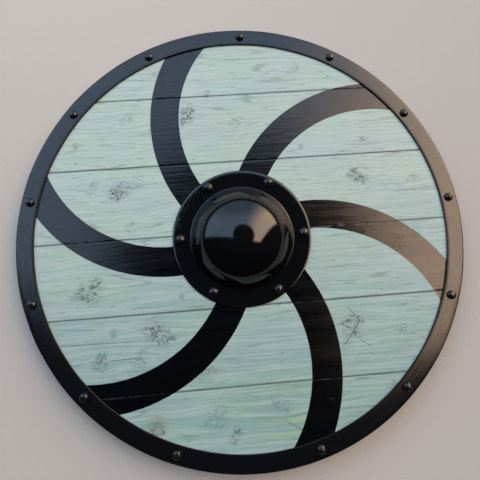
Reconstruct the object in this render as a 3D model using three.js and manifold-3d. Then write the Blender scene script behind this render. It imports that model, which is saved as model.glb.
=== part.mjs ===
// A wooden round shield, lying on its back with the boss up.
// Millimetres. +Z is up, X runs along the planks, +Y points to the shield's top.
// The origin is under the middle of the disc, at the level of the grip bar's underside.

import * as THREE from 'three';
import { mergeVertices } from 'three/addons/utils/BufferGeometryUtils.js';
import Module from 'manifold-3d';

const wasm = await Module();
wasm.setup();

// ---- Driving dimensions ----

const fitGap = 0.3;               // air between two pieces that touch

const shieldRadius = 305;         // to the outside of the rim band
const boardThickness = 12;
const gripThickness = 16;

const plankCount = 6;
const plankPitch = 100.45;        // from one seam to the next
const middleSeamY = 1.7;          // the third seam runs just above the centre
const frontSeamChamfer = 0.7;     // the planks' long edges are planed off into a V
const backSeamChamfer = 0.6;

const rimSheet = 1.5;
const rimFaceWidth = 24;          // of the leg that lies on the front
const rimBackWidth = 21;          // of the leg that is folded over the back
const rimFoldRadius = 2.4;
const rimEdgeChamfer = 0.5;
const rimRivetCount = 13;
const rimRivetCircle = 292.4;     // radius on which the rivets sit
const rimRivetFirstAngle = -75.2; // degrees from +X
const rimRivetStep = 27;          // thirteen of these leave one wide gap at the foot

const bossX = -3.2;               // the boss sits a little low and to the left
const bossY = -6.3;
const bossFlangeRadius = 94;
const bossSheet = 1.5;
const bossEdgeChamfer = 0.4;
const bossDomeRadius = 76;        // of the sphere that the dome is a cap of
const bossDomeRise = 45;          // above the flange
const bossFilletRadius = 2;

// Where the boss was drilled by eye: degrees from +X, and distance from its middle.
const bossRivetSpots = [[0.3, 84.3], [60.5, 85.5], [120, 84], [178, 83.6], [238.3, 82.8], [300, 84.8]];

const handHoleRadius = 60;

const rimRivet = { headRadius: 6, headRise: 4.3, shankRadius: 2.5, tailRadius: 4.2, tailRise: 1.6 };
const bossRivet = { headRadius: 6.8, headRise: 4.8, shankRadius: 2.8, tailRadius: 4.8, tailRise: 1.8 };

const gripLength = 520;
const gripEndWidth = 42;
const gripHandleWidth = 30;
const gripHandleLength = 108;     // the narrow stretch that the hand closes on
const gripShoulderLength = 46;    // from the narrow stretch to the full width
const gripEdgeRounding = 3;
const gripCornerRounding = 9;
const gripScrewPlaces = [0.3, 0.58, 0.9];  // along half of the bar, from its middle

const screw = { headRadius: 4, headEdge: 0.6, headDepth: 2.8, shankRadius: 2, length: 24, sunk: 0.6 };

// Facets: enough for a true outline, few enough for a light model.
const discFacets = 64;
const domeFacets = 44;
const rivetFacets = 10;
const screwFacets = 8;
const gripCurveSteps = 3;
const gripBevelSteps = 2;
const holeFacets = 8;

const overshoot = 1;              // how far a drill runs past the piece that it goes through

// ---- Levels, from the bottom up ----

const gripTop = gripThickness;
const boardBack = gripTop + fitGap;
const boardFront = boardBack + boardThickness;
const rimBackInside = boardBack - fitGap;
const rimBackOutside = rimBackInside - rimSheet;
const rimFrontInside = boardFront + fitGap;
const rimFrontOutside = rimFrontInside + rimSheet;
const flangeBottom = boardFront + fitGap;
const flangeTop = flangeBottom + bossSheet;
const boardRadius = shieldRadius - rimSheet - fitGap;

// ---- Materials ----

const finish = (color, roughness, metalness) =>
  new THREE.MeshStandardMaterial({ color, roughness, metalness });

const paintedPine = () => finish(0xb3c7bc, 0.55, 0);
const blackenedSteel = () => finish(0x1b1e22, 0.22, 0.5);
const oiledPine = () => finish(0xb08a5c, 0.6, 0);
const plainSteel = () => finish(0x85837e, 0.4, 0.9);

// ---- Helpers ----

const radians = THREE.MathUtils.degToRad;

// Turns a closed outline of [radius, height] points about the Z axis.
function revolve(outline, facets) {
  const points = outline.map(([radius, height]) => new THREE.Vector2(radius, height));
  return new THREE.LatheGeometry(points, facets).rotateX(Math.PI / 2);
}

// Points of a circular arc, in degrees, as [radius, height] pairs.
function arc(centreR, centreZ, radius, fromAngle, toAngle, steps) {
  const points = [];
  for (let step = 0; step <= steps; step += 1) {
    const angle = radians(fromAngle + (toAngle - fromAngle) * step / steps);
    points.push([centreR + radius * Math.cos(angle), centreZ + radius * Math.sin(angle)]);
  }
  return points;
}

// Makes a closed mesh into a solid that can be cut.
function toSolid(geometry) {
  const bare = geometry.clone();
  bare.deleteAttribute('normal');
  bare.deleteAttribute('uv');
  const merged = mergeVertices(bare, 1e-4);
  const corners = merged.index.array;
  const triangles = [];
  for (let i = 0; i < corners.length; i += 3) {
    const [a, b, c] = [corners[i], corners[i + 1], corners[i + 2]];
    if (a !== b && b !== c && c !== a) {
      triangles.push(a, b, c);
    }
  }
  return new wasm.Manifold(new wasm.Mesh({
    numProp: 3,
    vertProperties: new Float32Array(merged.attributes.position.array),
    triVerts: new Uint32Array(triangles),
  }));
}

// Makes a cut solid into a mesh again.
function toGeometry(solid) {
  const { vertProperties, triVerts } = solid.getMesh();
  const geometry = new THREE.BufferGeometry();
  geometry.setAttribute('position', new THREE.BufferAttribute(vertProperties, 3));
  geometry.setIndex(new THREE.BufferAttribute(triVerts, 1));
  geometry.computeVertexNormals();
  return geometry;
}

// Takes each cutter in turn out of a piece.
function cutFrom(geometry, cutters) {
  let solid = toSolid(geometry);
  for (const cutter of cutters) {
    solid = solid.subtract(toSolid(cutter));
  }
  return toGeometry(solid);
}

// A straight drill from one level up to another.
function drill(x, y, radius, fromZ, toZ, facets = holeFacets) {
  const outline = [[0, fromZ], [radius, fromZ], [radius, toZ], [0, toZ]];
  return revolve(outline, facets).translate(x, y, 0);
}

function named(name, geometry, material) {
  const mesh = new THREE.Mesh(geometry, material);
  mesh.name = name;
  return mesh;
}

// ---- Where the fasteners go ----

const rimRivetPlaces = Array.from({ length: rimRivetCount }, (_, index) => {
  const angle = radians(rimRivetFirstAngle + rimRivetStep * index);
  return [rimRivetCircle * Math.cos(angle), rimRivetCircle * Math.sin(angle)];
});

const bossRivetPlaces = bossRivetSpots.map(([degrees, distance]) => {
  const angle = radians(degrees);
  return [bossX + distance * Math.cos(angle), bossY + distance * Math.sin(angle)];
});

const gripScrewYs = [...gripScrewPlaces, ...gripScrewPlaces.map((place) => -place)]
  .map((place) => place * gripLength / 2)
  .sort((a, b) => b - a);

// A drilled hole's flats stay clear of the shank by the fit gap.
const holeRadius = (shankRadius) => (shankRadius + fitGap) / Math.cos(Math.PI / holeFacets);

const drillFrom = rimBackOutside - overshoot;

const rimRivetHoles = rimRivetPlaces.map(([x, y]) =>
  drill(x, y, holeRadius(rimRivet.shankRadius), drillFrom, rimFrontOutside + overshoot));

const bossRivetHoles = bossRivetPlaces.map(([x, y]) =>
  drill(x, y, holeRadius(bossRivet.shankRadius), drillFrom, flangeTop + overshoot));

// ---- Planks ----

// The section of a plank across its grain: square, with its four long edges planed off.
function plankSection(lowY, highY) {
  const low = lowY + fitGap / 2;
  const high = highY - fitGap / 2;
  const section = new THREE.Shape();
  section.moveTo(low + backSeamChamfer, boardBack);
  section.lineTo(high - backSeamChamfer, boardBack);
  section.lineTo(high, boardBack + backSeamChamfer);
  section.lineTo(high, boardFront - frontSeamChamfer);
  section.lineTo(high - frontSeamChamfer, boardFront);
  section.lineTo(low + frontSeamChamfer, boardFront);
  section.lineTo(low, boardFront - frontSeamChamfer);
  section.lineTo(low, boardBack + backSeamChamfer);
  section.closePath();
  return section;
}

// A board of that section, as long as the disc is wide, lying along X.
function plankBlank(lowY, highY) {
  const length = 2 * shieldRadius;
  const blank = new THREE.ExtrudeGeometry(plankSection(lowY, highY), {
    depth: length,
    bevelEnabled: false,
  });
  const sectionToWorld = new THREE.Matrix4().makeBasis(
    new THREE.Vector3(0, 1, 0),
    new THREE.Vector3(0, 0, 1),
    new THREE.Vector3(1, 0, 0),
  );
  return blank.applyMatrix4(sectionToWorld).translate(-length / 2, 0, 0);
}

function makePlanks() {
  const sawFrom = boardBack - overshoot;
  const sawTo = boardFront + overshoot;
  const disc = toSolid(drill(0, 0, boardRadius, sawFrom, sawTo, discFacets));
  const handHole = toSolid(
    drill(bossX, bossY, handHoleRadius, sawFrom - overshoot, sawTo + overshoot, domeFacets));
  const screwHoles = gripScrewYs.map((y) => screwRoom(y));
  const drilled = [...rimRivetHoles, ...bossRivetHoles, ...screwHoles].map(toSolid);
  const topSeam = middleSeamY + plankPitch * (plankCount / 2 - 1);
  const planks = [];
  for (let index = 0; index < plankCount; index += 1) {
    const isTop = index === 0;
    const isBottom = index === plankCount - 1;
    const highY = isTop ? shieldRadius : topSeam - plankPitch * (index - 1);
    const lowY = isBottom ? -shieldRadius : topSeam - plankPitch * index;
    let plank = toSolid(plankBlank(lowY, highY)).intersect(disc).subtract(handHole);
    for (const hole of drilled) {
      plank = plank.subtract(hole);
    }
    planks.push(named(`plank_${index + 1}`, toGeometry(plank), paintedPine()));
  }
  return planks;
}

// ---- Rim band ----

// The strip is folded into a U over the edge of the wood.
function makeRim() {
  const faceInside = shieldRadius - rimFaceWidth;
  const backInside = shieldRadius - rimBackWidth;
  const foldR = shieldRadius - rimFoldRadius;
  const wallInside = shieldRadius - rimSheet;
  const outline = [
    [faceInside, rimFrontInside],
    [wallInside, rimFrontInside],
    [wallInside, rimBackInside],
    [backInside, rimBackInside],
    [backInside, rimBackOutside],
    ...arc(foldR, rimBackOutside + rimFoldRadius, rimFoldRadius, 270, 360, 2),
    ...arc(foldR, rimFrontOutside - rimFoldRadius, rimFoldRadius, 0, 90, 2),
    [faceInside + rimEdgeChamfer, rimFrontOutside],
    [faceInside, rimFrontOutside - rimEdgeChamfer],
    [faceInside, rimFrontInside],
  ];
  return named('rim_band', cutFrom(revolve(outline, discFacets), rimRivetHoles), blackenedSteel());
}

// ---- Boss ----

// A flat flange, a tight fillet and a domed cap, all of one sheet.
function makeBoss() {
  const domeCentreZ = flangeTop + bossDomeRise - bossDomeRadius;
  const filletCentreZ = flangeTop + bossFilletRadius;
  const filletReach = bossDomeRadius + bossFilletRadius;
  const filletRise = filletCentreZ - domeCentreZ;
  const filletCentreR = Math.sqrt(filletReach ** 2 - filletRise ** 2);
  const meetAngle = THREE.MathUtils.radToDeg(Math.asin(filletRise / filletReach));
  const insideRadius = bossDomeRadius - bossSheet;
  const underFillet = bossFilletRadius + bossSheet;
  const outline = [
    ...arc(0, domeCentreZ, insideRadius, 90, meetAngle, 6),
    ...arc(filletCentreR, filletCentreZ, underFillet, 180 + meetAngle, 270, 2),
    [bossFlangeRadius, flangeBottom],
    [bossFlangeRadius, flangeTop - bossEdgeChamfer],
    [bossFlangeRadius - bossEdgeChamfer, flangeTop],
    ...arc(filletCentreR, filletCentreZ, bossFilletRadius, 270, 180 + meetAngle, 2),
    ...arc(0, domeCentreZ, bossDomeRadius, meetAngle, 90, 8).slice(1),
  ];
  const shell = revolve(outline, domeFacets).translate(bossX, bossY, 0);
  return named('boss', cutFrom(shell, bossRivetHoles), blackenedSteel());
}

// ---- Rivets ----

// A domed head on the front, a straight shank and a hammered tail on the back.
function rivetGeometry(rivet, frontZ, backZ) {
  const headBottom = frontZ + fitGap;
  const tailTop = backZ - fitGap;
  const headSteps = 3;
  const tailShoulder = Math.SQRT1_2;  // halfway round the tail, which is hammered to a low dome
  const outline = [
    [0, tailTop - rivet.tailRise],
    [rivet.tailRadius * tailShoulder, tailTop - rivet.tailRise * tailShoulder],
    [rivet.tailRadius, tailTop],
    [rivet.shankRadius, tailTop],
    [rivet.shankRadius, headBottom],
  ];
  for (let step = 0; step <= headSteps; step += 1) {
    const angle = Math.PI / 2 * step / headSteps;
    outline.push([rivet.headRadius * Math.cos(angle), headBottom + rivet.headRise * Math.sin(angle)]);
  }
  return revolve(outline, rivetFacets);
}

function makeRivets(name, rivet, places, frontZ, backZ) {
  return places.map(([x, y], index) => {
    const mesh = named(`${name}_${index + 1}`, rivetGeometry(rivet, frontZ, backZ), blackenedSteel());
    mesh.position.set(x, y, 0);
    return mesh;
  });
}

// ---- Grip bar and its screws ----

// The outline of a countersunk screw that points up, grown by a margin all round.
function screwOutline(margin, bottomZ) {
  const headTop = screw.sunk + screw.headDepth + margin;
  return [
    [0, bottomZ],
    [screw.headRadius + margin, bottomZ],
    [screw.headRadius + margin, screw.sunk + screw.headEdge],
    [screw.shankRadius + margin, headTop],
    [screw.shankRadius + margin, screw.sunk + screw.length - screw.headDepth],
    [0, screw.sunk + screw.length + margin],
  ];
}

// The room that a screw takes up in the bar and the planks, open at the bar's underside.
const screwRoom = (y) => revolve(screwOutline(fitGap, -overshoot), screwFacets).translate(bossX, y, 0);

// One bar over all six planks, waisted where the hand closes on it.
function makeGripBar() {
  const endHalf = gripEndWidth / 2 - gripEdgeRounding;
  const handHalf = gripHandleWidth / 2 - gripEdgeRounding;
  const tip = gripLength / 2 - gripEdgeRounding;
  const corner = gripCornerRounding;
  const handleTop = bossY + gripHandleLength / 2;
  const handleBottom = bossY - gripHandleLength / 2;
  const bend = gripShoulderLength / 2;
  const outline = new THREE.Shape();
  outline.moveTo(handHalf, handleBottom);
  outline.lineTo(handHalf, handleTop);
  outline.bezierCurveTo(handHalf, handleTop + bend, endHalf, handleTop + bend,
    endHalf, handleTop + gripShoulderLength);
  outline.lineTo(endHalf, tip - corner);
  outline.quadraticCurveTo(endHalf, tip, endHalf - corner, tip);
  outline.lineTo(corner - endHalf, tip);
  outline.quadraticCurveTo(-endHalf, tip, -endHalf, tip - corner);
  outline.lineTo(-endHalf, handleTop + gripShoulderLength);
  outline.bezierCurveTo(-endHalf, handleTop + bend, -handHalf, handleTop + bend,
    -handHalf, handleTop);
  outline.lineTo(-handHalf, handleBottom);
  outline.bezierCurveTo(-handHalf, handleBottom - bend, -endHalf, handleBottom - bend,
    -endHalf, handleBottom - gripShoulderLength);
  outline.lineTo(-endHalf, corner - tip);
  outline.quadraticCurveTo(-endHalf, -tip, corner - endHalf, -tip);
  outline.lineTo(endHalf - corner, -tip);
  outline.quadraticCurveTo(endHalf, -tip, endHalf, corner - tip);
  outline.lineTo(endHalf, handleBottom - gripShoulderLength);
  outline.bezierCurveTo(endHalf, handleBottom - bend, handHalf, handleBottom - bend,
    handHalf, handleBottom);
  const bar = new THREE.ExtrudeGeometry(outline, {
    depth: gripThickness - 2 * gripEdgeRounding,
    bevelThickness: gripEdgeRounding,
    bevelSize: gripEdgeRounding,
    bevelSegments: gripBevelSteps,
    curveSegments: gripCurveSteps,
  }).translate(bossX, 0, gripEdgeRounding);
  return named('grip_bar', cutFrom(bar, gripScrewYs.map(screwRoom)), oiledPine());
}

function makeGripScrews() {
  return gripScrewYs.map((y, index) => {
    const body = revolve(screwOutline(0, screw.sunk), screwFacets);
    const mesh = named(`grip_screw_${index + 1}`, body, plainSteel());
    mesh.position.set(bossX, y, 0);
    return mesh;
  });
}

// ---- The whole shield ----

const shield = new THREE.Group();
shield.add(
  ...makePlanks(),
  makeRim(),
  makeBoss(),
  ...makeRivets('rim_rivet', rimRivet, rimRivetPlaces, rimFrontOutside, rimBackOutside),
  ...makeRivets('boss_rivet', bossRivet, bossRivetPlaces, flangeTop, boardBack),
  makeGripBar(),
  ...makeGripScrews(),
);

export default shield;
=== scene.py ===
# A wooden round shield, lying on its back: the finish of every piece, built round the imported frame.
import math
from functools import partial

import bmesh
import bpy
import numpy as np
from mathutils import Matrix, Vector


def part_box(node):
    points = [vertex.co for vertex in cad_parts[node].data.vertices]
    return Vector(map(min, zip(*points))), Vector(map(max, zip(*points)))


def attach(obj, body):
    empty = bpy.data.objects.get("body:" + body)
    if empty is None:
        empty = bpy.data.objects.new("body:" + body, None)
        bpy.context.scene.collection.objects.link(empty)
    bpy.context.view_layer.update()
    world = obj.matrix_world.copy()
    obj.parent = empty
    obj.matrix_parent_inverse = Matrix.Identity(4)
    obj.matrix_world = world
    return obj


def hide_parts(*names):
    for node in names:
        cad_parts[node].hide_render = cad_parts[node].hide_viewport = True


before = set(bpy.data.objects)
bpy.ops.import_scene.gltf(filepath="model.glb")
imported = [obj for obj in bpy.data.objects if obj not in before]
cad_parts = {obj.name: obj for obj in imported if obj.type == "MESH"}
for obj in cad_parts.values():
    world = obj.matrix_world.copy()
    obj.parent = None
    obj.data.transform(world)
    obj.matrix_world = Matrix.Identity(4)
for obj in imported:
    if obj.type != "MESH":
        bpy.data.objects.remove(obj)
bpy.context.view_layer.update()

MM = 0.001

# ---- Places, taken from the frame ----

PLANKS = [f"plank_{i}" for i in range(1, 7)]
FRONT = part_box("plank_3")[1].z
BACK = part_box("plank_3")[0].z
SEAMS = [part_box(name)[0].y for name in PLANKS[:-1]]
PITCH = SEAMS[0] - SEAMS[1]
RIM_LOW, RIM_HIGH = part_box("rim_band")
BOSS_LOW, BOSS_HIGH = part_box("boss")
BOSS_X = (BOSS_LOW.x + BOSS_HIGH.x) / 2
BOSS_Y = (BOSS_LOW.y + BOSS_HIGH.y) / 2
GRIP_LOW, GRIP_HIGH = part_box("grip_bar")
RIM_RIVETS = sorted((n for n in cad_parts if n.startswith("rim_rivet")), key=lambda n: int(n[10:]))
BOSS_RIVETS = sorted(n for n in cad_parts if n.startswith("boss_rivet"))
GRIP_SCREWS = sorted(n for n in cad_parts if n.startswith("grip_screw"))

# ---- Sizes that the maker works to, as in the frame ----

OUTER = RIM_HIGH.x
WOOD_RADIUS = OUTER - 1.8 * MM
RIM_SHEET = 1.5 * MM
RIM_FACE = 24 * MM
RIM_BACK_FACE = 21 * MM
RIM_FOLD = 2.4 * MM
FLANGE_RADIUS = (BOSS_HIGH.x - BOSS_LOW.x) / 2
BOSS_SHEET = 1.5 * MM
DOME_RADIUS = 76 * MM
DOME_RISE = BOSS_HIGH.z - BOSS_LOW.z - BOSS_SHEET
BOSS_FILLET = 2 * MM
HAND_HOLE = 60 * MM
SHANK = {"rim": 2.5 * MM, "boss": 2.8 * MM}
SHANK_GAP = 0.3 * MM  # round each shank, in its hole
OVERRUN = 3 * MM  # how far a drill goes past what it drills
ARM_COUNT = 6
ARM_WIDTH = 40
ARM_CURVE = 195

# How bright the studio's backdrops are, as linear colours.
COOL_BACKDROP = (1.15, 1.60, 2.20, 1)
WARM_BACKDROP = (6.6, 4.8, 3.4, 1)
DARK_ROOM = (0.001, 0.004, 0.008, 1)
BENCH_LIGHT = (0.85, 0.85, 0.85, 1)

# Knots in the planks: x, y, half its length and half its width, lean in degrees, darkness.
KNOTS = [
    (-68, 175, 14, 10, 60, 1.0), (-106, 240, 10, 6, 20, 0.5), (-152, 175, 12, 8, 40, 0.35),
    (-103, 205, 8, 4, 50, 0.5), (-38, 205, 8, 4, 60, 0.5), (-119, 155, 13, 8, 30, 0.3),
    (112, 177, 12, 7, -35, 0.8), (185, 124, 10, 6, 50, 0.4), (92, 239, 12, 6, 35, 0.4),
    (-167, 69, 19, 11, 32, 1.0), (-204, 77, 11, 6, 45, 0.5), (165, 70, 14, 9, -30, 1.0),
    (246, 62, 9, 6, 20, 0.5), (-154, 19, 9, 6, 60, 0.4), (-210, -62, 22, 13, 30, 1.0),
    (-188, -31, 9, 6, 70, 0.35), (212, -30, 13, 8, 65, 0.7), (238, -15, 10, 5, 70, 0.5),
    (174, -7, 9, 7, 75, 0.7), (-122, -125, 20, 13, -35, 1.0), (-196, -153, 14, 10, 80, 0.8),
    (-146, -154, 13, 9, 60, 0.6), (-152, -174, 17, 9, 20, 0.35), (133, -136, 19, 13, 65, 1.0),
    (201, -145, 10, 6, 75, 0.3), (-128, -242, 13, 9, 62, 0.9), (-55, -238, 20, 12, 58, 0.4),
    (-31, -258, 9, 6, 65, 0.9), (31, -227, 14, 8, -42, 0.5), (104, -221, 14, 6, 20, 0.45),
    (60, 60, 12, 8, 30, 0.5), (-60, -180, 12, 8, 40, 0.5), (0, 160, 10, 7, 50, 0.5),
]

# Splits along the grain and stray cuts: from, to, half their width.
SPLITS = [
    ((-262, -130), (-133, -133), 0.7), ((-250, -111), (-193, -114), 0.6), ((30, -244), (62, -263), 0.8),
    ((126, -203), (152, -203), 0.8), ((-190, -154), (-140, -153), 0.7), ((116, -164), (146, -128), 0.9),
    ((146, -132), (128, -108), 0.8), ((128, -142), (160, -168), 0.6),
]

# Stains that show through the thin paint: x, y, reach along and across the grain, colour, strength.
STAINS = [
    (-103, 238, 22, 14, "8A7F5C", 0.35), (-250, 190, 14, 16, "A39A86", 0.3),
    (-128, -236, 12, 15, "9C8478", 0.55),
    (45, -245, 40, 5, "8FA35A", 0.38), (40, -262, 34, 4, "8CA04C", 0.42), (50, -205, 38, 7, "98A86C", 0.28),
    (-20, -225, 26, 20, "86A083", 0.3), (268, -12, 18, 7, "A08C90", 0.35), (-255, -128, 9, 8, "8D7B78", 0.3),
    (-20, 150, 16, 40, "B3B894", 0.22), (-196, -150, 14, 18, "6E8084", 0.35),
    (-146, -160, 16, 16, "7C8C8C", 0.25),
    (212, -28, 13, 16, "7F9090", 0.3), (238, -14, 12, 12, "8094A0", 0.3), (-55, -240, 24, 20, "7D9490", 0.25),
]


# ---- Bench: small helpers for modelling ----

def deselect_all():
    bpy.ops.object.select_all(action="DESELECT")


def begin_edit():
    bpy.ops.object.mode_set(mode="EDIT")


def end_edit():
    bpy.ops.object.mode_set(mode="OBJECT")


def pick(kind, test):
    """In edit mode, selects only the verts, edges or faces that pass the test."""
    mesh = bpy.context.edit_object.data
    work = bmesh.from_edit_mesh(mesh)
    bpy.ops.mesh.select_all(action="DESELECT")
    for item in getattr(work, kind):
        if test(item):
            item.select_set(True)
    work.select_flush_mode()
    bmesh.update_edit_mesh(mesh)


def middle(item):
    """The middle of an edge or face."""
    return sum((v.co for v in item.verts), Vector()) / len(item.verts)


def take(name):
    """Names the piece just added, which the adding has left the only one selected."""
    piece = bpy.context.active_object
    piece.name = piece.data.name = name
    return piece


def make_only(piece):
    deselect_all()
    piece.select_set(True)
    bpy.context.view_layer.objects.active = piece


def settle(piece):
    """Puts the piece's place and turn into its mesh, so that its object sits at the origin."""
    make_only(piece)
    bpy.ops.object.transform_apply(location=True, rotation=True, scale=True)


def apply_modifier(piece, kind, **settings):
    modifier = piece.modifiers.new(kind.title(), kind)
    for name, value in settings.items():
        setattr(modifier, name, value)
    make_only(piece)
    bpy.ops.object.modifier_apply(modifier=modifier.name)


def smooth(piece, degrees=35):
    make_only(piece)
    bpy.ops.object.shade_smooth_by_angle(angle=math.radians(degrees))


def copy_of(piece, name):
    twin = piece.copy()
    twin.data = piece.data.copy()
    twin.name = twin.data.name = name
    bpy.context.scene.collection.objects.link(twin)
    return twin


def points_of(piece):
    flat = np.empty(len(piece.data.vertices) * 3, np.float32)
    piece.data.vertices.foreach_get("co", flat)
    return flat.reshape(-1, 3).astype(float)


def put_points(piece, points):
    piece.data.vertices.foreach_set("co", points.astype(np.float32).ravel())
    piece.data.update()


def paint_points(piece, name, values, kind="FLOAT", field="value"):
    """Stores a value at each point of the piece, for its material to read."""
    layer = piece.data.attributes.new(name, kind, "POINT")
    layer.data.foreach_set(field, np.asarray(values, np.float32).ravel())


def hand_over(piece, node, material):
    """The finished piece stands for its solid, rides with the shield and takes its finish."""
    piece.data.materials.clear()
    piece.data.materials.append(material)
    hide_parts(node)
    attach(piece, "root")


def drill_bit(x, y, radius, low, high, vertices=32):
    bpy.ops.mesh.primitive_cylinder_add(
        vertices=vertices, radius=radius, depth=high - low, location=(x, y, (low + high) / 2))
    bit = take("drill_bit")
    settle(bit)
    return bit


def join(pieces):
    deselect_all()
    for piece in pieces:
        piece.select_set(True)
    bpy.context.view_layer.objects.active = pieces[0]
    bpy.ops.object.join()
    return pieces[0]


def discard(piece):
    bpy.data.objects.remove(piece, do_unlink=True)


def centre_of(node):
    low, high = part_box(node)
    return (low + high) / 2


def spin_outline(name, outline, steps, x=0.0, y=0.0):
    """Draws an outline of (radius, height) points and turns it about an upright axis."""
    bpy.ops.mesh.primitive_plane_add(size=1)
    piece = take(name)
    begin_edit()
    bpy.ops.mesh.merge(type="CENTER")
    here = Vector((outline[0][0], 0, outline[0][1]))
    bpy.ops.transform.translate(value=here)
    for radius, height in outline[1:]:
        there = Vector((radius, 0, height))
        bpy.ops.mesh.extrude_vertices_move(TRANSFORM_OT_translate={"value": there - here})
        here = there
    bpy.ops.mesh.select_all(action="SELECT")
    bpy.ops.mesh.spin(steps=steps, angle=math.tau, center=(0, 0, 0), axis=(0, 0, 1))
    bpy.ops.mesh.select_all(action="SELECT")
    bpy.ops.mesh.remove_doubles(threshold=1e-6)
    bpy.ops.mesh.normals_make_consistent(inside=False)
    bpy.ops.transform.translate(value=(x, y, 0))
    end_edit()
    return piece


def arc(centre_r, centre_z, radius, start, stop, steps):
    """Points of an arc in degrees, as (radius, height) pairs."""
    turns = [math.radians(start + (stop - start) * i / steps) for i in range(steps + 1)]
    return [(centre_r + radius * math.cos(t), centre_z + radius * math.sin(t)) for t in turns]


def waves(a, b, seed, count=5, shortest=0.5):
    """A smooth, repeatable wander of about -1 to 1 over two directions, given in wavelengths."""
    draw = np.random.default_rng(seed)
    total = np.zeros_like(a)
    for _ in range(count):
        along, across = draw.uniform(-1, 1, 2) / shortest
        total += np.sin(math.tau * (along * a + across * b) + draw.uniform(0, math.tau))
    return total / math.sqrt(count) / 1.4


# ---- Materials ----

def hex_colour(code):
    """An sRGB hex colour as the linear one that a shader needs."""
    parts = [int(code[i:i + 2], 16) / 255 for i in (0, 2, 4)]
    return tuple(p / 12.92 if p <= 0.04045 else ((p + 0.055) / 1.055) ** 2.4 for p in parts) + (1,)


def add(tree, kind, sockets=(), **settings):
    """Adds a node with its settings. Its sockets get values, or links from nodes and their outputs."""
    made = tree.nodes.new("ShaderNode" + kind)
    for name, value in settings.items():
        setattr(made, name, value)
    for socket, value in sockets.items() if isinstance(sockets, dict) else enumerate(sockets):
        if isinstance(value, bpy.types.Node):
            value = value.outputs[0]
        if isinstance(value, bpy.types.NodeSocket):
            tree.links.new(value, made.inputs[socket])
        else:
            made.inputs[socket].default_value = value
    return made


def new_material(name):
    """An empty material, its node adder, and a hand that gives its shader numbers or nodes."""
    material = bpy.data.materials.new(name)
    material.use_nodes = True
    tree = material.node_tree
    sockets = tree.nodes["Principled BSDF"].inputs

    def give(socket, value):
        if isinstance(value, bpy.types.Node):
            value = value.outputs[0]
        if isinstance(value, bpy.types.NodeSocket):
            tree.links.new(value, sockets[socket])
        else:
            sockets[socket].default_value = value

    return material, partial(add, tree), give


def place_in_mm(n):
    """Object coordinates in millimetres, whole and split."""
    place = n("VectorMath", {0: n("TexCoord").outputs["Object"], "Scale": 1000}, operation="SCALE")
    split = n("SeparateXYZ", [place])
    return place, split.outputs["X"], split.outputs["Y"], split.outputs["Z"]


def stretched_noise(n, x, y, z, length, width, detail=2.0, rough=0.5):
    """Noise whose marks are about so many millimetres long in x and wide in y."""
    along = n("Math", [x, length], operation="DIVIDE")
    across = n("Math", [y, width], operation="DIVIDE")
    spot = n("CombineXYZ", [along, across, z])
    return n("TexNoise", {"Vector": spot, "Scale": 1, "Detail": detail, "Roughness": rough})


def ease(n, value, low, high, to_low=0.0, to_high=1.0):
    """Eases a value from one range to another, with a soft start and stop."""
    return n("MapRange", [value, low, high, to_low, to_high], interpolation_type="SMOOTHSTEP")


def thin_lines(n, noise, width):
    """1 along the thin lines where a noise crosses its middle, 0 away from them."""
    away = n("Math", [n("Math", [noise, 0.5], operation="SUBTRACT")], operation="ABSOLUTE")
    return ease(n, away, width, width * 0.15)


def blend(n, share, under, over, how="MIX"):
    mix = n("Mix", {0: share, 6: under, 7: over}, data_type="RGBA", blend_type=how)
    return mix.outputs[2]


def arm_mask(n, x, y, wander):
    """1 on the six curved arms, which are arcs through the boss's middle, and 0 between them."""
    dx = n("Math", [x, BOSS_X / MM], operation="SUBTRACT")
    dy = n("Math", [y, BOSS_Y / MM], operation="SUBTRACT")
    reach = n("VectorMath", [n("CombineXYZ", [dx, dy, 0.0])], operation="LENGTH").outputs["Value"]
    bend = n("Math", [reach, 2 * ARM_CURVE], operation="DIVIDE")
    turn = n("Math", [n("Math", [dy, dx], operation="ARCTAN2"),
                      n("Math", [bend], operation="ARCCOSINE")], operation="SUBTRACT")
    step = math.tau / ARM_COUNT
    off_arm = n("Math", [turn, step / 2, -step / 2], operation="WRAP")
    lean = n("Math", [1.0, n("Math", [bend, bend], operation="MULTIPLY")], operation="SUBTRACT")
    width = n("Math", [reach, n("Math", [lean], operation="SQRT")], operation="MULTIPLY")
    away = n("Math", [n("Math", [off_arm, width], operation="MULTIPLY")], operation="ABSOLUTE")
    edge = n("Math", [away, wander], operation="ADD")
    return ease(n, edge, ARM_WIDTH / 2 + 0.35, ARM_WIDTH / 2 - 0.35)


def line_mask(n, place, start, end, width):
    """1 on a thin straight line across the face, fading out towards its ends."""
    along = Vector((end[0] - start[0], end[1] - start[1], 0))
    from_start = n("VectorMath", [place, (start[0], start[1], FRONT / MM)], operation="SUBTRACT")
    run = n("VectorMath", [from_start, along.normalized()], operation="DOT_PRODUCT").outputs["Value"]
    side = Vector((-along.y, along.x, 0)).normalized()
    off = n("VectorMath", [from_start, side], operation="DOT_PRODUCT").outputs["Value"]
    taper = n("Math", [n("Math", [run, along.length / 2], operation="SUBTRACT")], operation="ABSOLUTE")
    reach = ease(n, taper, along.length / 2, along.length / 4)
    near = ease(n, n("Math", [off], operation="ABSOLUTE"), width, width * 0.3)
    return n("Math", [reach, near], operation="MULTIPLY")


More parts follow.
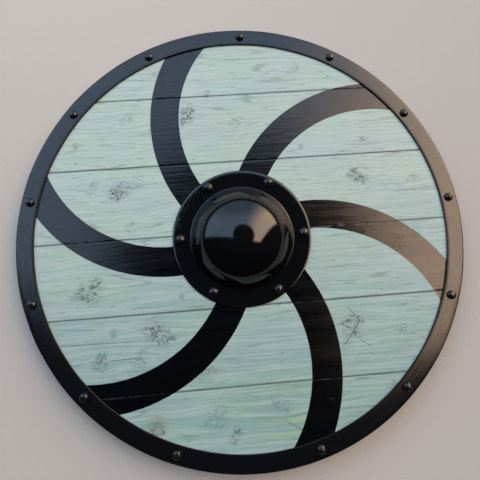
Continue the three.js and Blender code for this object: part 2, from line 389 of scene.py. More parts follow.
def painted_pine():
    """Knotty pine, wire-brushed, washed with thin pale green milk paint and lined with black gloss.
    The eye gets soft grey-green boards with long fine grain lines, scribbled knots and dark seams,
    and glossy arms in which the grain still catches the light. The back is bare."""
    material, n, give = new_material("pine_brushed_milk_paint_and_gloss")
    place, x, y, z = place_in_mm(n)
    board = n("Math", [n("Math", [n("Math", [y, SEAMS[-1] / MM], operation="SUBTRACT"), PITCH / MM],
                         operation="DIVIDE")], operation="FLOOR")
    seed = n("Math", [board, 7.3], operation="MULTIPLY")
    knot = n("Attribute", attribute_name="knot").outputs["Fac"]
    knot_dark = n("Attribute", attribute_name="knot_dark").outputs["Fac"]
    push = n("Attribute", attribute_name="knot_push").outputs["Fac"]
    lean = n("Attribute", attribute_name="knot_lean").outputs["Fac"]
    stain = n("Attribute", attribute_name="stain")

    # The grain wanders a little along each board and parts round the knots.
    wander = stretched_noise(n, x, y, seed, 210, 70, 1)
    swing = n("Math", [wander, 12, push], operation="MULTIPLY_ADD")
    grain_y = n("Math", [y, swing], operation="ADD")
    fine = stretched_noise(n, x, grain_y, seed, 30, 1.6, 3, 0.6)
    streak = stretched_noise(n, x, grain_y, seed, 110, 4.5, 2)
    patch = stretched_noise(n, x, y, seed, 70, 14, 2)
    cloud = stretched_noise(n, x, y, 3.0, 90, 45, 2)

    # Pale green wash, uneven over the boards, rubbed thin along the grain.
    pale = blend(n, ease(n, cloud, 0.38, 0.62), hex_colour("9BB5AC"), hex_colour("98B1B3"))
    # Painted shade: from a little above the middle down to the foot, the wash turns darker and more teal.
    shaded_towards_foot = blend(n, ease(n, y, 120, -260, 0.0, 0.75), pale, hex_colour("6C9492"))
    wash = blend(n, ease(n, streak, 0.38, 0.64, 0.0, 0.45), shaded_towards_foot, hex_colour("A8BBB8"))
    thin = n("Math", [ease(n, fine, 0.50, 0.72), ease(n, patch, 0.38, 0.62, 0.12, 0.6)], operation="MULTIPLY")
    brushed = blend(n, thin, wash, hex_colour("728886"))
    long_lines = thin_lines(n, stretched_noise(n, x, grain_y, seed, 210, 9, 0), 0.028)
    short_lines = thin_lines(n, stretched_noise(n, x, grain_y, 9.0, 90, 5.5, 0), 0.032)
    long_part = n("Math", [long_lines, ease(n, patch, 0.42, 0.56)], operation="MULTIPLY")
    short_part = n("Math", [short_lines, ease(n, patch, 0.52, 0.42)], operation="MULTIPLY")
    lines = n("Math", [long_part, short_part], operation="MAXIMUM")
    grained = blend(n, n("Math", [lines, 0.5], operation="MULTIPLY"), brushed, hex_colour("617A77"))
    stained = blend(n, stain.outputs["Alpha"], grained, stain.outputs["Color"], "MULTIPLY")

    # Knots: torn fibres scribbled along and across a lean, densest in the middle and on one side.
    leaned = n("SeparateXYZ", [n("VectorRotate", {"Vector": place, "Angle": lean}, rotation_type="Z_AXIS")])
    leaned_x, leaned_y = leaned.outputs["X"], leaned.outputs["Y"]
    wobble = stretched_noise(n, x, y, 1.7, 16, 9, 3, 0.65)
    reach = n("Math", [n("Math", [wobble, 1.5, -0.75], operation="MULTIPLY_ADD"), knot], operation="ADD")
    along = thin_lines(n, stretched_noise(n, leaned_x, leaned_y, 3.1, 20, 4.5, 2, 0.5), 0.05)
    across = thin_lines(n, stretched_noise(n, leaned_y, leaned_x, 6.4, 13, 5, 2, 0.5), 0.04)
    with_grain = ease(n, stretched_noise(n, x, grain_y, 5.2, 13, 1.7, 2, 0.5), 0.60, 0.68)
    marks = n("Math", [n("Math", [along, across], operation="MAXIMUM"), with_grain], operation="MAXIMUM")
    broken = ease(n, stretched_noise(n, x, y, 2.2, 7, 5, 1), 0.36, 0.54)
    dense = n("Math", [ease(n, reach, 0.22, 0.75), broken], operation="MULTIPLY")
    torn = n("Math", [n("Math", [marks, dense], operation="MULTIPLY"), ease(n, knot, 0.03, 0.25)],
             operation="MULTIPLY")
    torn_here = n("Math", [torn, knot_dark], operation="MULTIPLY")
    greyed = blend(n, n("Math", [ease(n, reach, 0.0, 1.0, 0.0, 0.26), knot_dark], operation="MULTIPLY"),
                   stained, hex_colour("718681"))
    knotted = blend(n, n("Math", [torn_here, 0.9], operation="MULTIPLY"), greyed, hex_colour("3A4544"))

    # Splits, and dark seams: grime in a narrow band along each seam, and painted shade down in the V grooves,
    # darker the deeper the wood lies below the face.
    split = line_mask(n, place, *SPLITS[0])
    for start, end, width in SPLITS[1:]:
        split = n("Math", [split, line_mask(n, place, start, end, width)], operation="MAXIMUM")
    cracked = blend(n, n("Math", [split, 0.75], operation="MULTIPLY"), knotted, hex_colour("39434A"))
    depth = n("Math", [FRONT / MM, z], operation="SUBTRACT")
    over_seam = n("Math", [y, SEAMS[-1] / MM], operation="SUBTRACT")
    seam_side = n("Math", [over_seam, PITCH / MM / 2, -PITCH / MM / 2], operation="WRAP")
    from_seam = n("Math", [seam_side], operation="ABSOLUTE")
    # Grime along each seam, and painted shade by depth below the face.
    grime = n("Math", [ease(n, from_seam, 2.2, 0.9, 0.0, 0.45), ease(n, depth, 0.10, 0.30)],
              operation="MAXIMUM")
    seams_grimed_and_shaded = blend(n, n("Math", [grime, 0.95], operation="MULTIPLY"), cracked, hex_colour("1A2120"))

    # The black arms lie over all of it.
    ragged = n("Math", [n("Math", [fine, 0.5], operation="SUBTRACT"), 1.2], operation="MULTIPLY")
    arms = arm_mask(n, x, y, ragged)
    black = blend(n, ease(n, fine, 0.6, 0.8, 0.0, 0.5), hex_colour("050709"), hex_colour("0D1114"))
    front = blend(n, arms, seams_grimed_and_shaded, black)

    # Bare wood on the back and the edges.
    rings = n("Math", [n("Math", [n("Math", [grain_y, 5.2], operation="DIVIDE"),
                                  n("Math", [streak, 3.0], operation="MULTIPLY")], operation="ADD")],
              operation="SINE")
    bare = blend(n, ease(n, rings, -0.2, 1.0), hex_colour("BE9B6B"), hex_colour("AA8254"))
    bare_grained = blend(n, ease(n, fine, 0.5, 0.75, 0.0, 0.5), bare, hex_colour("7A5029"))
    bare_knotted = blend(n, ease(n, reach, 0.45, 0.95, 0.0, 0.7), bare_grained, hex_colour("4A2A16"))
    painted = ease(n, depth, 2.2, 1.6)
    give("Base Color", blend(n, painted, bare_knotted, front))

    gloss = n("Math", [arms, painted], operation="MULTIPLY")
    satin = ease(n, fine, 0.3, 0.8, 0.50, 0.66)
    enamel = ease(n, patch, 0.3, 0.7, 0.12, 0.20)
    give("Roughness", n("Mix", {0: gloss, 2: satin, 3: enamel}, data_type="FLOAT").outputs[0])

    # Brushed grain stands up 0.2 mm; torn fibres and splits cut in as deep.
    raised = n("Math", [fine, n("Math", [streak, 1.2], operation="MULTIPLY")], operation="ADD")
    deep = n("Math", [torn_here, split], operation="ADD")
    cut = n("Math", [lines, 0.3, deep], operation="MULTIPLY_ADD")
    surface = n("Math", [raised, cut], operation="SUBTRACT")
    bump = n("Bump", {"Height": surface, "Strength": 0.5, "Distance": 0.2 * MM})
    give("Normal", bump.outputs["Normal"])
    return material


def black_steel_strip():
    """Mild steel strip, bent round the wood and sprayed with black gloss enamel.
    The eye gets a near mirror that wavers, with draw marks that run along the strip."""
    material, n, give = new_material("steel_strip_black_enamel")
    place, x, y, _ = place_in_mm(n)
    flat = n("CombineXYZ", [x, y, 0.0])
    reach = n("VectorMath", [flat], operation="LENGTH").outputs["Value"]
    way = n("VectorMath", [flat], operation="NORMALIZE")
    around = n("VectorMath", {0: way, "Scale": 5.0}, operation="SCALE")
    parts = n("SeparateXYZ", [around])
    drawn = n("TexNoise", {"Vector": n("CombineXYZ", [parts.outputs["X"], parts.outputs["Y"],
                                                      n("Math", [reach, 1.3], operation="DIVIDE")]),
                           "Scale": 1, "Detail": 2})
    patches = None
    for degrees, spread in ((197, 0.985), (213, 0.985), (-32, 0.985)):
        aim = (math.cos(math.radians(degrees)), math.sin(math.radians(degrees)), 0)
        facing = n("VectorMath", [way, aim], operation="DOT_PRODUCT").outputs["Value"]
        here = ease(n, facing, spread - 0.03, 0.998)
        patches = here if patches is None else n("Math", [patches, here], operation="MAXIMUM")
    worked = n("Math", [patches, 0.9, 0.1], operation="MULTIPLY_ADD")
    draw_marks = n("Math", [n("Math", [drawn, 0.5], operation="SUBTRACT"), worked], operation="MULTIPLY")
    speck = n("TexNoise", {"Vector": place, "Scale": 0.55, "Detail": 3})
    chipped = n("Math", [ease(n, speck, 0.70, 0.76), ease(n, reach, 300, 304)], operation="MULTIPLY")
    colour = blend(n, chipped, hex_colour("0B0D10"), hex_colour("4B4A48"))
    give("Base Color", colour)
    give("Roughness", ease(n, drawn, 0.3, 0.7, 0.14, 0.22).outputs[0])
    bump = n("Bump", {"Height": draw_marks, "Strength": 0.55, "Distance": 0.3 * MM})
    give("Normal", bump.outputs["Normal"])
    return material


def black_steel_boss():
    """Steel sheet spun to a dome and sprayed with black gloss enamel.
    The eye gets a black mirror, with a rubbed patch on the flange and a few nicks on the dome."""
    material, n, give = new_material("steel_spun_black_enamel")
    place = place_in_mm(n)[0]
    from_boss = n("VectorMath", [place, (BOSS_X / MM, BOSS_Y / MM, 0)], operation="SUBTRACT")
    parts = n("SeparateXYZ", [from_boss])
    flat = n("CombineXYZ", [parts.outputs["X"], parts.outputs["Y"], 0.0])
    reach = n("VectorMath", [flat], operation="LENGTH").outputs["Value"]
    way = n("VectorMath", [flat], operation="NORMALIZE")
    aim = (math.cos(math.radians(146)), math.sin(math.radians(146)), 0)
    facing = n("VectorMath", [way, aim], operation="DOT_PRODUCT").outputs["Value"]
    turned = n("VectorRotate", {"Vector": place, "Angle": math.radians(-58)}, rotation_type="Z_AXIS")
    across = n("SeparateXYZ", [turned])
    scratch = stretched_noise(n, across.outputs["X"], across.outputs["Y"], 2.0, 14, 1.1, 3, 0.65)
    rubbed_place = n("Math", [ease(n, facing, 0.90, 0.985), ease(n, reach, 82, 91)], operation="MULTIPLY")
    rubbed = n("Math", [ease(n, scratch, 0.54, 0.70, 0.0, 0.5), rubbed_place], operation="MULTIPLY")
    nick_spots = n("VectorMath", [place, (-22, 11, 85)], operation="DISTANCE").outputs["Value"]
    speckle = n("TexNoise", {"Vector": place, "Scale": 0.42, "Detail": 2})
    nicked = n("Math", [ease(n, nick_spots, 17, 7), ease(n, speckle, 0.645, 0.685)], operation="MULTIPLY")
    worn = n("Math", [rubbed, nicked], operation="MAXIMUM")
    bare_share = n("Math", [worn, 0.85], operation="MULTIPLY")
    colour = blend(n, bare_share, hex_colour("0A0C0E"), hex_colour("8F8F8C"))
    give("Base Color", colour)
    film = n("TexNoise", {"Vector": place, "Scale": 0.05, "Detail": 3})
    glossy = ease(n, film, 0.35, 0.7, 0.05, 0.11)
    dulled = n("Math", [n("Math", [worn, 0.4], operation="MULTIPLY"), glossy], operation="ADD")
    give("Roughness", dulled.outputs[0])
    peel = n("TexNoise", {"Vector": place, "Scale": 0.35, "Detail": 1})
    surface = n("Math", [peel, n("Math", [rubbed, 3.0], operation="MULTIPLY")], operation="SUBTRACT")
    bump = n("Bump", {"Height": surface, "Strength": 0.10, "Distance": 0.2 * MM})
    give("Normal", bump.outputs["Normal"])
    return material


def black_steel_rivet():
    """Forged steel rivets, headed by hammer and sprayed black with the band they hold.
    The eye gets small black beads with one soft flash each, lighter grey towards the top of each head: partly
    rubbed paint, partly a painted highlight."""
    material, n, give = new_material("steel_rivet_black_enamel")
    place = place_in_mm(n)[0]
    dents = n("TexNoise", {"Vector": place, "Scale": 0.35, "Detail": 1})
    rub = n("TexNoise", {"Vector": place, "Scale": 0.8, "Detail": 3})
    crown_highlight = n("Attribute", attribute_name="crown_highlight").outputs["Fac"]
    # Lighter grey towards the top of each head, in patches: partly rubbed paint, partly a painted highlight.
    rubbed = n("Math", [ease(n, rub, 0.55, 0.75), crown_highlight], operation="MULTIPLY")
    give("Base Color", blend(n, rubbed, hex_colour("0B0D10"), hex_colour("3E4042")))
    give("Roughness", ease(n, rub, 0.3, 0.7, 0.14, 0.26).outputs[0])
    bump = n("Bump", {"Height": dents, "Strength": 0.35, "Distance": 0.5 * MM})
    give("Normal", bump.outputs["Normal"])
    return material


def oiled_pine_grip():
    """Straight-grained pine, planed and oiled, its grain along the bar.
    The eye gets warm brown wood, darker and smoother where the hand closes on it."""
    material, n, give = new_material("pine_planed_oiled")
    _, x, y, z = place_in_mm(n)
    wander = stretched_noise(n, y, x, 1.0, 120, 18, 1)
    grain_x = n("Math", [wander, 14, x], operation="MULTIPLY_ADD")
    fine = stretched_noise(n, y, grain_x, z, 40, 1.2, 3, 0.6)
    ring = n("Math", [n("Math", [n("Math", [grain_x, z], operation="ADD"), 1.35], operation="MULTIPLY")],
             operation="SINE")
    base = blend(n, ease(n, ring, -0.3, 1.0), hex_colour("B78B57"), hex_colour("8C5F35"))
    grained = blend(n, ease(n, fine, 0.5, 0.75, 0.0, 0.6), base, hex_colour("6B4424"))
    from_hand = n("Math", [n("Math", [y, BOSS_Y / MM], operation="SUBTRACT")], operation="ABSOLUTE")
    handled = ease(n, from_hand, 75, 40)
    darkened = n("Math", [handled, 0.4], operation="MULTIPLY")
    give("Base Color", blend(n, darkened, grained, hex_colour("5B3B22"), "MULTIPLY"))
    sheen = n("Mix", {0: handled, 2: 0.55, 3: 0.33}, data_type="FLOAT").outputs[0]
    give("Roughness", sheen)
    bump = n("Bump", {"Height": fine, "Strength": 0.4, "Distance": 0.15 * MM})
    give("Normal", bump.outputs["Normal"])
    return material


def turned_steel_screw():
    """Plain steel wood screws, turned and a little dulled.
    The eye gets small grey discs, dulled in patches, with a dark slot."""
    material, n, give = new_material("steel_screw_turned")
    place = place_in_mm(n)[0]
    grime = n("TexNoise", {"Vector": place, "Scale": 0.7, "Detail": 3})
    colour = blend(n, ease(n, grime, 0.45, 0.7), hex_colour("9A9892"), hex_colour("5C5349"))
    give("Base Color", colour)
    give("Metallic", 1.0)
    give("Roughness", ease(n, grime, 0.3, 0.7, 0.32, 0.55).outputs[0])
    return material


def studio_floor():
    """Seamless paper, pale and matt: the eye gets a soft even ground."""
    material, n, give = new_material("paper_pale_seamless")
    tooth = n("TexNoise", {"Vector": n("TexCoord").outputs["Object"], "Scale": 400, "Detail": 2})
    give("Base Color", blend(n, tooth, hex_colour("A9A8A5"), hex_colour("AFAEAB")))
    give("Roughness", 0.9)
    return material


# ---- Planks ----

def board_cutters():
    """The disc that the boards are sawn to, and the holes through them, as cutting bodies."""
    disc = drill_bit(0, 0, WOOD_RADIUS, BACK - 2 * MM, FRONT + 2 * MM, 256)
    holes = [drill_bit(BOSS_X, BOSS_Y, HAND_HOLE, BACK - OVERRUN, FRONT + OVERRUN, 128)]
    for names, kind in ((RIM_RIVETS, "rim"), (BOSS_RIVETS, "boss")):
        for name in names:
            spot = centre_of(name)
            holes.append(drill_bit(
                spot.x, spot.y, SHANK[kind] + SHANK_GAP, BACK - OVERRUN, FRONT + OVERRUN, 16))
    return disc, join(holes)


def saw_board(node):
    """A board with a fine grid of points on both faces and its long edges planed to a V."""
    low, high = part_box(node)
    cell = 2.6 * MM
    length, width = high.x - low.x + 8 * MM, high.y - low.y
    bpy.ops.mesh.primitive_grid_add(
        x_subdivisions=round(length / cell), y_subdivisions=round(width / cell), size=1)
    board = take("board_" + node[-1])
    begin_edit()
    bpy.ops.transform.resize(value=(length, width, 1))
    bpy.ops.transform.translate(value=((low.x + high.x) / 2, (low.y + high.y) / 2, FRONT))
    bpy.ops.mesh.extrude_region_move(TRANSFORM_OT_translate={"value": (0, 0, BACK - FRONT)})
    bpy.ops.mesh.select_all(action="SELECT")
    bpy.ops.mesh.normals_make_consistent(inside=False)
    for level, chamfer in ((FRONT, 0.7 * MM), (BACK, 0.5 * MM)):
        pick("edges", lambda edge: all(
            abs(v.co.z - level) < 1e-5 and min(abs(v.co.y - low.y), abs(v.co.y - high.y)) < 1e-5
            for v in edge.verts))
        bpy.ops.mesh.bevel(offset=chamfer, segments=2, profile=0.6, affect="EDGES")
    end_edit()
    return board


def weather_board(board, index):
    """Moves the faces by hand-tool amounts: a slight cup, brushed ridges and proud knots."""
    points = points_of(board)
    x, y, z = points.T
    low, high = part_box(PLANKS[index])
    across = (y - (low.y + high.y) / 2) / (PITCH / 2)
    cup = 0.12 * MM * (1 if index % 2 else -1) * (across ** 2 - 0.5)
    ridge_run = y / (7 * MM) + 1.6 * waves(x / 0.3, y / 0.2, 40 + index)
    ridges = 0.05 * MM * np.sin(math.tau * ridge_run) * (0.6 + 0.4 * waves(x / 0.2, y / 0.1, 50 + index))
    warp = 0.06 * MM * waves(x / 0.5, y / 0.3, 60 + index)
    knot = np.zeros(len(points))
    dark = np.zeros(len(points))
    push = np.zeros(len(points))
    lean = np.zeros(len(points))
    for kx, ky, long, wide, degrees, darkness in KNOTS:
        turn = math.radians(degrees)
        dx, dy = x / MM - kx, y / MM - ky
        along = (dx * math.cos(turn) + dy * math.sin(turn)) / long
        across = (dy * math.cos(turn) - dx * math.sin(turn)) / wide
        fall = np.exp(-0.7 * (along ** 2 + across ** 2) ** 1.25)
        nearest = fall > knot
        knot = np.where(nearest, fall, knot)
        dark = np.where(nearest, darkness, dark)
        lean = np.where(nearest, -turn, lean)
        push -= dy * 0.8 * np.exp(-(dx / (1.7 * long)) ** 2 - (dy / (1.3 * wide)) ** 2)
    stain = np.ones((len(points), 4))
    stain[:, 3] = 0
    for sx, sy, along, wide, colour, strength in STAINS:
        share = strength * np.exp(-((x / MM - sx) / along) ** 2 - ((y / MM - sy) / wide) ** 2)
        stronger = share > stain[:, 3]
        tint = np.array(hex_colour(colour)[:3]) / max(hex_colour(colour)[:3])
        stain[stronger, :3] = tint
        stain[:, 3] = np.maximum(stain[:, 3], share)
    face = (z > FRONT - 0.05 * MM) | (z < BACK + 0.05 * MM)
    points[:, 2] += np.where(face, cup + ridges + warp + 0.10 * MM * knot * dark, 0)
    worn_edge = (z > FRONT - 0.8 * MM) & ~face
    points[:, 2] += np.where(worn_edge, 0.12 * MM * waves(x / 0.02, y, 70 + index), 0)
    put_points(board, points)
    paint_points(board, "knot", knot)
    paint_points(board, "knot_dark", dark)
    paint_points(board, "knot_push", push)
    paint_points(board, "knot_lean", lean)
    paint_points(board, "stain", stain, "FLOAT_COLOR", "color")


def make_boards():
    material = painted_pine()
    disc, holes = board_cutters()
    for index, node in enumerate(PLANKS):
        board = saw_board(node)
        apply_modifier(board, "BOOLEAN", operation="INTERSECT", object=disc, solver="MANIFOLD")
        apply_modifier(board, "BOOLEAN", operation="DIFFERENCE", object=holes, solver="MANIFOLD")
        weather_board(board, index)
        smooth(board, 25)
        hand_over(board, node, material)
    discard(disc)
    discard(holes)


# ---- Rim band ----

def make_rim_band():
    """A U-shaped strip, its free inner edge lifted a hair between the rivets."""
    face_inside = OUTER - RIM_FACE
    back_inside = OUTER - RIM_BACK_FACE
    wall_inside = OUTER - RIM_SHEET
    top, bottom = RIM_HIGH.z, RIM_LOW.z
    fold = OUTER - RIM_FOLD
    edge = 0.55 * MM
    flats = [face_inside + edge + (fold - face_inside - edge) * share for share in (0.75, 0.5, 0.25)]
    outline = [
        (face_inside, top - RIM_SHEET), (wall_inside, top - RIM_SHEET), (wall_inside, bottom + RIM_SHEET),
        (back_inside, bottom + RIM_SHEET), (back_inside, bottom),
        *arc(fold, bottom + RIM_FOLD, RIM_FOLD, 270, 360, 6),
        *arc(fold, top - RIM_FOLD, RIM_FOLD, 0, 90, 6),
        *[(radius, top) for radius in flats],
        *arc(face_inside + edge, top - edge, edge, 90, 180, 3),
        (face_inside, top - RIM_SHEET),
    ]
    band = spin_outline("rim_strip", outline, 360)
    holes = []
    for name in RIM_RIVETS:
        spot = centre_of(name)
        holes.append(drill_bit(spot.x, spot.y, SHANK["rim"] + SHANK_GAP, bottom - OVERRUN, top + OVERRUN, 16))
    cutter = join(holes)
    apply_modifier(band, "BOOLEAN", operation="DIFFERENCE", object=cutter, solver="MANIFOLD")
    discard(cutter)
    points = points_of(band)
    radius = np.hypot(points[:, 0], points[:, 1])
    angle = np.arctan2(points[:, 1], points[:, 0])
    pinned = np.zeros(len(points))
    for name in RIM_RIVETS:
        spot = centre_of(name)
        gap = np.angle(np.exp(1j * (angle - math.atan2(spot.y, spot.x))))
        pinned = np.maximum(pinned, np.exp(-(gap / 0.09) ** 2))
    inward = np.clip((fold - radius) / (fold - face_inside), 0, 1)
    on_front = points[:, 2] > top - 1.1 * RIM_SHEET
    circle = (np.cos(angle), np.sin(angle))
    lift = 0.28 * MM * inward * (1 - pinned) * (0.6 + 0.4 * waves(*circle, 11, 6, 0.35))
    points[:, 2] += np.where(on_front, lift, 0)
    sway = 0.35 * MM * waves(*circle, 12, 6, 0.45)
    for axis in (0, 1):
        points[:, axis] *= 1 - np.abs(sway) / radius
    put_points(band, points)
    smooth(band, 40)
    hand_over(band, "rim_band", black_steel_strip())


# ---- Boss ----

def make_boss():
    """Flange, tight fillet and dome, spun from one sheet, with the faint waver of hand spinning."""
    flange_top = BOSS_LOW.z + BOSS_SHEET
    dome_z = flange_top + DOME_RISE - DOME_RADIUS
    fillet_z = flange_top + BOSS_FILLET
    fillet_reach = DOME_RADIUS + BOSS_FILLET
    fillet_r = math.sqrt(fillet_reach ** 2 - (fillet_z - dome_z) ** 2)
    meet = math.degrees(math.asin((fillet_z - dome_z) / fillet_reach))
    edge = 0.3 * MM
    flats = [fillet_r + (FLANGE_RADIUS - edge - fillet_r) * share for share in (0.8, 0.6, 0.4, 0.2)]
    outline = [
        *arc(0, dome_z, DOME_RADIUS - BOSS_SHEET, 90, meet, 32),
        *arc(fillet_r, fillet_z, BOSS_FILLET + BOSS_SHEET, 180 + meet, 270, 6),
        (FLANGE_RADIUS, BOSS_LOW.z),
        *arc(FLANGE_RADIUS - edge, flange_top - edge, edge, 0, 90, 3),
        *[(radius, flange_top) for radius in flats],
        *arc(fillet_r, fillet_z, BOSS_FILLET, 270, 180 + meet, 6),
        *arc(0, dome_z, DOME_RADIUS, meet, 90, 40)[1:],
    ]
    outline[0] = (0, outline[0][1])
    outline[-1] = (0, outline[-1][1])
    shell = spin_outline("boss_shell", outline, 192, BOSS_X, BOSS_Y)
    holes = []
    for name in BOSS_RIVETS:
        spot = centre_of(name)
        holes.append(drill_bit(
            spot.x, spot.y, SHANK["boss"] + SHANK_GAP, BOSS_LOW.z - OVERRUN, flange_top + OVERRUN, 16))
    cutter = join(holes)
    apply_modifier(shell, "BOOLEAN", operation="DIFFERENCE", object=cutter, solver="MANIFOLD")
    discard(cutter)
    points = points_of(shell)
    dx, dy = points[:, 0] - BOSS_X, points[:, 1] - BOSS_Y
    reach = np.hypot(dx, dy)
    on_dome = np.clip((points[:, 2] - fillet_z) / (10 * MM), 0, 1)
    waver = 0.10 * MM * on_dome * waves(dx / 0.09, dy / 0.09, 21)
    outward = np.stack([dx, dy, points[:, 2] - dome_z], 1) / DOME_RADIUS
    points -= outward * np.abs(waver)[:, None]
    on_flange = (points[:, 2] < flange_top + 0.1 * MM) & (reach > fillet_r)
    points[:, 2] += np.where(on_flange, 0.10 * MM * np.abs(waves(dx / 0.12, dy / 0.12, 22)), 0)
    put_points(shell, points)
    smooth(shell, 40)
    hand_over(shell, "boss", black_steel_boss())


# ---- Rivets ----

def rivet_blank(name, head, rise, shank, tail, tail_rise, front, back):
    """One rivet about the upright axis: domed head, straight shank, hammered tail."""
    seat, lip = 0.3 * MM, 0.45 * MM
    top, bottom = front + seat, back - seat
    outline = [
        (0, bottom - tail_rise),
        (tail * 0.55, bottom - tail_rise),
        *arc(tail - lip, bottom - lip, lip, 300, 360, 2),
        (tail, bottom), (shank, bottom), (shank, top), (head - lip * 0.3, top),
        (head, top + lip * 0.5),
    ]
    for step in range(1, 11):
        turn = math.radians(90 * step / 10)
        outline.append((head * math.cos(turn) ** 0.92, top + lip * 0.5 + (rise - lip * 0.5) * math.sin(turn)))
    outline[-1] = (0, outline[-1][1])
    return spin_outline(name, outline, 40)


def set_rivets(blank, nodes, material, front):
    """Copies the blank to each place, each head a little off true in its own way."""
    for index, node in enumerate(nodes):
        spot = centre_of(node)
        rivet = copy_of(blank, node.replace("rivet", "rivet_head"))
        points = points_of(rivet)
        x, y = points[:, 0].copy(), points[:, 1].copy()
        above = np.clip((points[:, 2] - front) / (4 * MM), 0, 1)
        size = 6 * MM
        points[:, 0] *= 1 - 0.05 * above * np.abs(waves(x / size, y / size, 300 + index, 3, 1.5))
        points[:, 1] *= 1 - 0.05 * above * np.abs(waves(x / size, y / size, 400 + index, 3, 1.5))
        points[:, 2] -= 0.30 * MM * above * np.abs(waves(x / size, y / size, 500 + index, 3, 1.5))
        put_points(rivet, points)
        rivet.location = (spot.x, spot.y, 0)
        settle(rivet)
        # Painted highlight: a share that grows towards the top of the head, for the finish to lighten.
        paint_points(rivet, "crown_highlight", above ** 2)
        smooth(rivet, 50)
        hand_over(rivet, node, material)
    discard(blank)


def make_rivets():
    material = black_steel_rivet()
    rim = rivet_blank("rim_blank", 6 * MM, 4.3 * MM, SHANK["rim"], 4.2 * MM, 1.6 * MM, RIM_HIGH.z, RIM_LOW.z)
    set_rivets(rim, RIM_RIVETS, material, RIM_HIGH.z)
    flange_top = BOSS_LOW.z + BOSS_SHEET
    boss = rivet_blank("boss_blank", 6.8 * MM, 4.8 * MM, SHANK["boss"], 4.8 * MM, 1.8 * MM, flange_top, BACK)
    set_rivets(boss, BOSS_RIVETS, material, flange_top)


# ---- Grip bar and screws ----

def make_grip_bar():
    """A bar with square-cornered ends and a waisted, rounded stretch for the hand."""
    width = GRIP_HIGH.x - GRIP_LOW.x
    thick = GRIP_HIGH.z - GRIP_LOW.z
    half = (GRIP_HIGH.y - GRIP_LOW.y) / 2
    # Each section's place, from -1 at one end to 1 at the other, and its share of the full width.
    sections = [(-1, 0.93), (-0.985, 1), (-0.62, 1), (-0.42, 1), (-0.36, 0.93), (-0.27, 0.74),
                (-0.2, 0.70), (0, 0.68), (0.16, 0.70), (0.23, 0.74), (0.32, 0.93), (0.38, 1),
                (0.62, 1), (0.985, 1), (1, 0.93)]
    end_share = 0.9
    first_slice = 1 * MM
    bpy.ops.mesh.primitive_cube_add(size=1, location=(BOSS_X, GRIP_LOW.y, thick / 2))
    bar = take("grip_bar_worked")
    settle(bar)
    begin_edit()
    bpy.ops.transform.resize(value=(width * sections[0][1], first_slice, thick * end_share))
    place, share = sections[0]
    for next_place, next_share in sections[1:]:
        last = place * half
        pick("faces", lambda face: face.normal.y > 0.9 and abs(middle(face).y - last) < 2 * MM)
        bpy.ops.mesh.extrude_region_move(
            TRANSFORM_OT_translate={"value": (0, (next_place - place) * half, 0)})
        grow = next_share / share
        tall = 1.0 / end_share if place == -1 else (end_share if next_place == 1 else 1)
        bpy.ops.transform.resize(value=(grow, 1, tall))
        place, share = next_place, next_share
    pick("edges", lambda edge: abs(edge.verts[0].co.y - edge.verts[1].co.y) > 2 * MM)
    bpy.ops.mesh.bevel(offset=3 * MM, segments=3, affect="EDGES")
    end_edit()
    apply_modifier(bar, "SUBSURF", levels=2, render_levels=2)
    cutters = []
    for node in GRIP_SCREWS:
        spot = centre_of(node)
        bpy.ops.mesh.primitive_cone_add(vertices=32, radius1=5.1 * MM, radius2=2.3 * MM, depth=4.2 * MM,
                                        location=(spot.x, spot.y, 1.3 * MM))
        cone = take("countersink")
        settle(cone)
        cutters.append(cone)
    cutter = join(cutters)
    apply_modifier(bar, "BOOLEAN", operation="DIFFERENCE", object=cutter, solver="EXACT")
    discard(cutter)
    smooth(bar, 35)
    hand_over(bar, "grip_bar", oiled_pine_grip())


def make_screws():
    """Countersunk wood screws with a straight slot, driven from the back."""
    head, sunk = 4 * MM, 0.6 * MM
    outline = [(0, sunk), (head - 0.2 * MM, sunk), (head, sunk + 0.2 * MM), (head, sunk + 0.5 * MM),
               (2 * MM, sunk + 2.9 * MM), (2 * MM, 21.5 * MM), (0.4 * MM, 24.4 * MM), (0, 24.5 * MM)]
    blank = spin_outline("screw_blank", outline, 32)
    bpy.ops.mesh.primitive_cube_add(size=1, location=(0, 0, sunk))
    slot = take("slot_cutter")
    slot.scale = (12 * MM, 0.9 * MM, 1.6 * MM)
    settle(slot)
    apply_modifier(blank, "BOOLEAN", operation="DIFFERENCE", object=slot, solver="EXACT")
    discard(slot)
    material = turned_steel_screw()
    for index, node in enumerate(GRIP_SCREWS):
        spot = centre_of(node)
        screw = copy_of(blank, node.replace("screw", "wood_screw"))
        screw.rotation_euler.z = 0.9 * index + 0.4
        screw.location = (spot.x, spot.y, 0)
        settle(screw)
        smooth(screw, 40)
        hand_over(screw, node, material)
    discard(blank)


# ---- Studio ----

def lay_floor():
    bpy.ops.mesh.primitive_plane_add(size=12, location=(0, 0, 0))
    floor = take("floor")
    floor.data.materials.append(studio_floor())


def soft_light(name, place, aim, size, power, colour):
    """A wide lamp that lights the shield but isn't mirrored in the gloss."""
    data = bpy.data.lights.new(name, "AREA")
    data.shape = "RECTANGLE"
    data.size, data.size_y = size
    data.energy = power
    data.color = colour
    lamp = bpy.data.objects.new(name, data)
    lamp.location = place
    lamp.rotation_euler = (Vector(place) - Vector(aim)).to_track_quat("Z", "Y").to_euler()
    lamp.visible_camera = False
    lamp.visible_glossy = False
    bpy.context.scene.collection.objects.link(lamp)


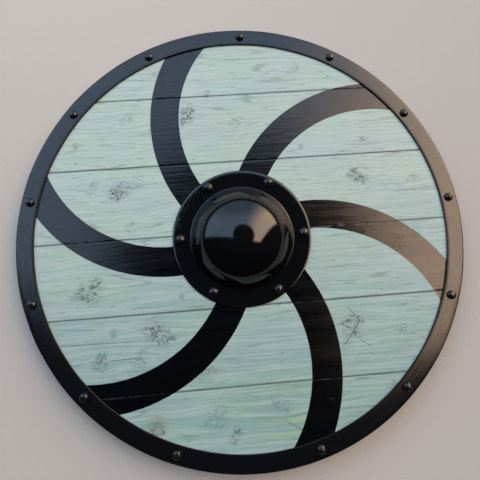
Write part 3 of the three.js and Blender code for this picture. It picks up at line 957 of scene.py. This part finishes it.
def hang_soft_backdrops():
    """Soft light round the upper half: cool behind the top, warm on the right, dark above. Even light
    comes from below, for a look at the back with the floor hidden."""
    world = bpy.data.worlds.new("soft_studio")
    world.use_nodes = True
    tree = world.node_tree
    n = partial(add, tree)
    way = n("TexCoord").outputs["Generated"]
    parts = n("SeparateXYZ", [way])
    axes = {"warmth": (1.0, -0.45, 0.0), "overhead": (0.045, 0.053, 0.998),
            "low_edge": (0.22, 1.0, 0.0), "right_edge": (1.0, -0.62, 0.0)}
    across = {name: n("VectorMath", [way, axis], operation="DOT_PRODUCT").outputs["Value"]
              for name, axis in axes.items()}
    cloth = blend(n, ease(n, across["warmth"], -0.12, 0.48), COOL_BACKDROP, WARM_BACKDROP)
    lit = ease(n, parts.outputs["Y"], 0.55, 0.95, 1.0, 0.45)
    for edge in (ease(n, across["overhead"], 0.946, 0.912), ease(n, across["low_edge"], -0.14, -0.02),
                 ease(n, across["right_edge"], 0.76, 0.66), ease(n, parts.outputs["Z"], 0.05, 0.20)):
        lit = n("Math", [lit, edge], operation="MULTIPLY")
    room = blend(n, lit, DARK_ROOM, cloth)
    room = blend(n, ease(n, parts.outputs["Z"], -0.02, -0.10), room, BENCH_LIGHT)
    ground = tree.nodes["Background"]
    tree.links.new(room, ground.inputs["Color"])
    bpy.context.scene.world = world


def light_studio():
    soft_light("top_light", place=(-0.28, 0.75, 0.8), aim=(0, 0.15, 0), size=(0.8, 0.5), power=3.5,
               colour=(1.0, 0.97, 0.95))
    hang_soft_backdrops()
    bpy.context.scene.view_settings.view_transform = "Standard"


def place_camera():
    """Near above the boss, a little to the left and below, looking down at the shield."""
    look = Vector((0.043, 0.138, -0.989)).normalized()
    up = Vector((0.073, 0.987, 0.141))
    right = look.cross(up).normalized()
    turn = Matrix((right, right.cross(look), -look)).transposed()
    data = bpy.data.cameras.new("camera")
    data.sensor_width = 36
    data.lens = 26.08
    camera = bpy.data.objects.new("camera", data)
    camera.matrix_world = Matrix.Translation((-27 * MM, -75 * MM, FRONT + 468.5 * MM)) @ turn.to_4x4()
    bpy.context.scene.collection.objects.link(camera)
    bpy.context.scene.camera = camera


deselect_all()
make_boards()
make_rim_band()
make_boss()
make_rivets()
make_grip_bar()
make_screws()
lay_floor()
light_studio()
place_camera()
